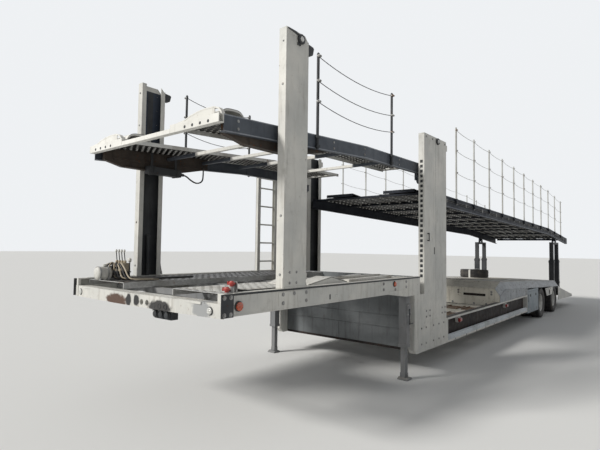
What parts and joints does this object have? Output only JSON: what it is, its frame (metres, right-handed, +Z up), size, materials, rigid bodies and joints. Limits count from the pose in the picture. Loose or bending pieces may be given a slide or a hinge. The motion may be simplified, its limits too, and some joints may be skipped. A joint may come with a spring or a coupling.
{
  "type": "car transporter semitrailer",
  "caption": "Two-deck car transporter semitrailer with guide columns, lifting and tilting upper decks, a low bed, a raised rear deck and twin wheels.",
  "frame": {"origin": "on the ground, midway along and across the whole trailer", "axes": "+X forward towards the coupling, +Y to the left side, +Z up"},
  "size_m": [15.1998, 2.622, 3.8546],
  "materials": {
    "weathered_white_paint": "satin, weathered",
    "grey_frame_paint": "satin, weathered",
    "galvanised_deck": "dull, worn",
    "dark_steel": "satin",
    "tyre_rubber": "matte",
    "wheel_silver": "satin",
    "red_plastic": "satin",
    "orange_lens": "glossy",
    "red_lens": "glossy"
  },
  "bodies": {
    "chassis": {"gooseneck_beams": "weathered_white_paint", "front_beam": "weathered_white_paint", "neck_rails": "grey_frame_paint", "neck_cross_members": "grey_frame_paint", "coupling_plate": "grey_frame_paint", "gooseneck_deck": "galvanised_deck", "front_columns": "weathered_white_paint", "mid_columns": "weathered_white_paint", "bulkhead": "weathered_white_paint", "low_sills": "weathered_white_paint", "low_tracks": "galvanised_deck", "low_rails": "grey_frame_paint", "low_cross_members": "grey_frame_paint", "raised_deck": "galvanised_deck", "main_rails": "grey_frame_paint", "bogie_members": "grey_frame_paint", "tail_members": "grey_frame_paint", "tail_frame": "weathered_white_paint", "mudguards": "weathered_white_paint", "side_lockers": "weathered_white_paint", "landing_legs": "grey_frame_paint", "axles": "dark_steel", "brake_drums": "dark_steel", "hangers": "dark_steel", "trailing_arms": "dark_steel", "air_springs": "tyre_rubber", "spare_wheel": "tyre_rubber", "post_sleeves": "dark_steel", "valve_bank": "dark_steel", "hydraulic_tank": "grey_frame_paint", "ladder": "weathered_white_paint", "coupling_heads": "red_plastic", "marker_lamps": "orange_lens", "tail_lamps": "red_lens", "work_lamps": "dark_steel"},
    "front_carriage": {"front_deck_carriages": "dark_steel"},
    "front_deck": {"front_deck_frame": "grey_frame_paint", "front_deck_tracks": "galvanised_deck", "front_deck_shoes": "dark_steel", "wheel_stops": "weathered_white_paint", "front_deck_posts": "dark_steel"},
    "rear_lift": {"lift_rods": "dark_steel"},
    "rear_deck": {"rear_deck_rails": "grey_frame_paint", "rear_deck_members": "grey_frame_paint", "rear_deck_plates": "galvanised_deck", "rear_deck_shoes": "dark_steel", "rear_deck_posts": "dark_steel"},
    "front_left_wheels": {"tyres_front_left": "tyre_rubber", "wheel_front_left": "wheel_silver"},
    "front_right_wheels": {"tyres_front_right": "tyre_rubber", "wheel_front_right": "wheel_silver"},
    "rear_left_wheels": {"tyres_rear_left": "tyre_rubber", "wheel_rear_left": "wheel_silver"},
    "rear_right_wheels": {"tyres_rear_right": "tyre_rubber", "wheel_rear_right": "wheel_silver"}
  },
  "joints": [
    {"name": "front_deck_lift", "type": "slide", "parent": "chassis", "child": "front_carriage", "axis": [0, 0, 1], "range_m": [-0.55, 0.35]},
    {"name": "front_deck_tilt", "type": "hinge", "parent": "front_carriage", "child": "front_deck", "pos_m": [3.608, 0, 2.79], "axis": [0, 1, 0], "range_deg": [-4, 4]},
    {"name": "rear_deck_lift", "type": "slide", "parent": "chassis", "child": "rear_lift", "axis": [0, 0, 1], "range_m": [-0.45, 0.3]},
    {"name": "rear_deck_tilt", "type": "hinge", "parent": "rear_lift", "child": "rear_deck", "pos_m": [-5.82, 0, 2.085], "axis": [0, 1, 0], "range_deg": [-2.5, 2.5]},
    {"name": "front_left_wheels_spin", "type": "hinge", "parent": "chassis", "child": "front_left_wheels", "pos_m": [-3.48, 0.985, 0.39], "axis": [0, 1, 0], "continuous": true},
    {"name": "front_right_wheels_spin", "type": "hinge", "parent": "chassis", "child": "front_right_wheels", "pos_m": [-3.48, -0.985, 0.39], "axis": [0, 1, 0], "continuous": true},
    {"name": "rear_left_wheels_spin", "type": "hinge", "parent": "chassis", "child": "rear_left_wheels", "pos_m": [-5, 0.985, 0.39], "axis": [0, 1, 0], "continuous": true},
    {"name": "rear_right_wheels_spin", "type": "hinge", "parent": "chassis", "child": "rear_right_wheels", "pos_m": [-5, -0.985, 0.39], "axis": [0, 1, 0], "continuous": true}
  ]
}
